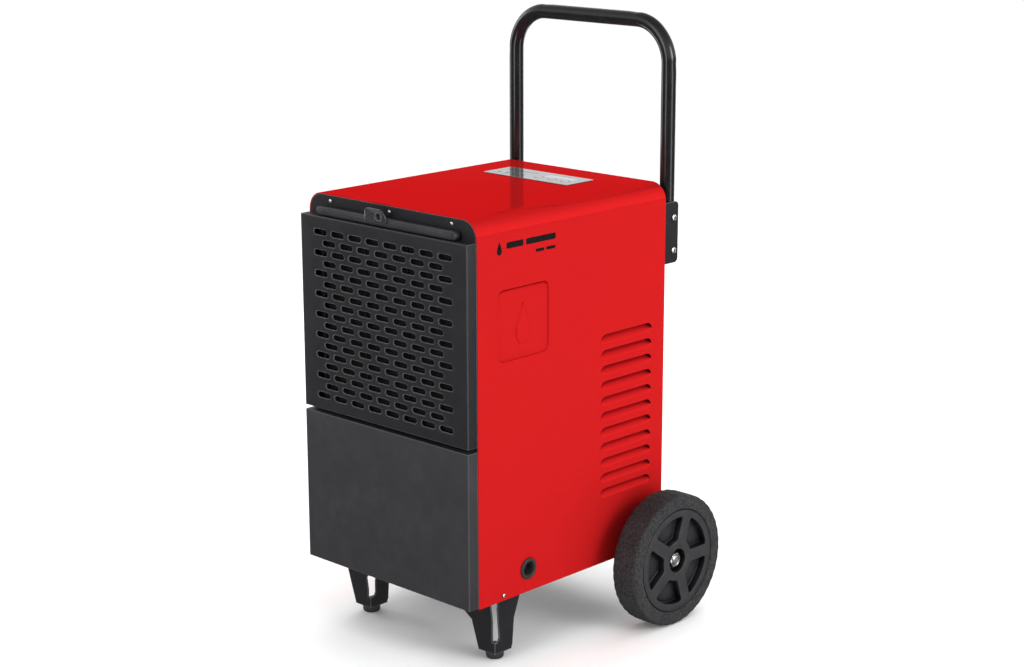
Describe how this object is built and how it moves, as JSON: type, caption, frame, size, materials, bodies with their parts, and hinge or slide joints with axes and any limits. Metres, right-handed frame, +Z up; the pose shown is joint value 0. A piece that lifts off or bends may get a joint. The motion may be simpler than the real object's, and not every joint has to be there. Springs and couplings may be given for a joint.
{
  "type": "dehumidifier",
  "caption": "Wheeled commercial dehumidifier: red sheet-metal cover with side louvres, slotted black front, tank drawer, lift-out filter, two rear wheels, front legs and fixed push handle.",
  "frame": {"origin": "on the floor, under the middle of the bounding box", "axes": "+Z up, front with the intake grille and tank drawer towards -Y, the machine's width along X"},
  "size_m": [0.558, 0.528, 1.0205],
  "materials": {
    "red_coat": "glossy red powder coat",
    "black_coat": "fine textured black powder coat",
    "black_tube": "semi-gloss black coated steel tube",
    "compressor_black": "black enamel on a drawn steel shell",
    "tyre": "solid black rubber tyre with shallow tread",
    "rubber": "moulded black rubber",
    "hub_plastic": "moulded black plastic hub",
    "zinc": "bright zinc plated steel fasteners",
    "axle_steel": "plain steel axle and motor shell",
    "galvanised": "galvanised sheet steel",
    "fins": "aluminium fin block",
    "copper": "copper refrigerant pipe",
    "filter_plastic": "dark grey moulded filter frame",
    "smoked_plastic": "smoky grey translucent plastic",
    "filter_media": "open filter mesh",
    "white_plastic": "off-white moulded plastic",
    "black_plastic": "black moulded plastic",
    "label": "light grey-blue printed overlay",
    "display": "pale display window"
  },
  "bodies": {
    "chassis": {"cover": "red_coat", "front_frame": "black_coat", "rear_panel": "black_coat", "grille_panel": "black_coat", "frame_screw_left": "zinc", "frame_screw_mid": "zinc", "frame_screw_right": "zinc", "cable_gland": "black_plastic", "base_pan": "galvanised", "side_screw_left": "zinc", "side_screw_right": "zinc", "axle": "axle_steel", "axle_bracket_left": "black_coat", "axle_bracket_right": "black_coat", "washer_left": "zinc", "washer_right": "zinc", "axle_nut_left": "zinc", "axle_nut_right": "zinc", "leg_left": "black_coat", "leg_right": "black_coat", "foot_left": "rubber", "foot_right": "rubber", "handle": "black_tube", "handle_bracket_left": "black_coat", "handle_bracket_right": "black_coat", "handle_screw_left_1": "zinc", "handle_screw_left_2": "zinc", "handle_screw_right_1": "zinc", "handle_screw_right_2": "zinc", "tank_bay_shelf": "galvanised", "drip_tray": "white_plastic", "evaporator": "fins", "condenser": "fins", "fan_shroud": "galvanised", "fan_motor": "axle_steel", "motor_stand": "galvanised", "compressor_mount_1": "rubber", "compressor_mount_2": "rubber", "compressor_mount_3": "rubber", "compressor": "compressor_black", "suction_pipe": "copper", "discharge_pipe": "copper", "control_panel": "label", "display_window": "display", "control_box": "black_plastic", "hose_grommet": "rubber"},
    "wheel_left": {"tyre_left": "tyre", "hub_left": "hub_plastic"},
    "wheel_right": {"tyre_right": "tyre", "hub_right": "hub_plastic"},
    "tank_drawer": {"lower_panel": "black_coat", "tank": "white_plastic"},
    "float": {"tank_float": "black_plastic"},
    "filter": {"filter_frame": "filter_plastic", "filter_media": "filter_media", "filter_tab": "smoked_plastic"},
    "fan": {"fan_impeller": "black_plastic"},
    "button_1_body": {"button_1": "white_plastic"},
    "button_2_body": {"button_2": "white_plastic"},
    "button_3_body": {"button_3": "white_plastic"}
  },
  "joints": [
    {"name": "wheel_left_spin", "type": "hinge", "parent": "chassis", "child": "wheel_left", "pos_m": [-0.2537, 0.15, 0.114], "axis": [1, 0, 0], "continuous": true},
    {"name": "wheel_right_spin", "type": "hinge", "parent": "chassis", "child": "wheel_right", "pos_m": [0.2537, 0.15, 0.114], "axis": [1, 0, 0], "continuous": true},
    {"name": "fan_spin", "type": "hinge", "parent": "chassis", "child": "fan", "pos_m": [0, -0.087, 0.56], "axis": [0, 1, 0], "continuous": true},
    {"name": "filter_slide", "type": "slide", "parent": "chassis", "child": "filter", "axis": [0, 0, 1], "range_m": [0, 0.31]},
    {"name": "tank_slide", "type": "slide", "parent": "chassis", "child": "tank_drawer", "axis": [0, -1, 0], "range_m": [0, 0.18]},
    {"name": "float_swing", "type": "hinge", "parent": "tank_drawer", "child": "float", "pos_m": [0, -0.07, 0.321], "axis": [-1, 0, 0], "range_deg": [0, 30]},
    {"name": "button_1_press", "type": "slide", "parent": "chassis", "child": "button_1_body", "axis": [0, 0, -1], "range_m": [0, 0.0005], "stiffness_N_per_m": 400},
    {"name": "button_2_press", "type": "slide", "parent": "chassis", "child": "button_2_body", "axis": [0, 0, -1], "range_m": [0, 0.0005], "stiffness_N_per_m": 400},
    {"name": "button_3_press", "type": "slide", "parent": "chassis", "child": "button_3_body", "axis": [0, 0, -1], "range_m": [0, 0.0005], "stiffness_N_per_m": 400}
  ]
}
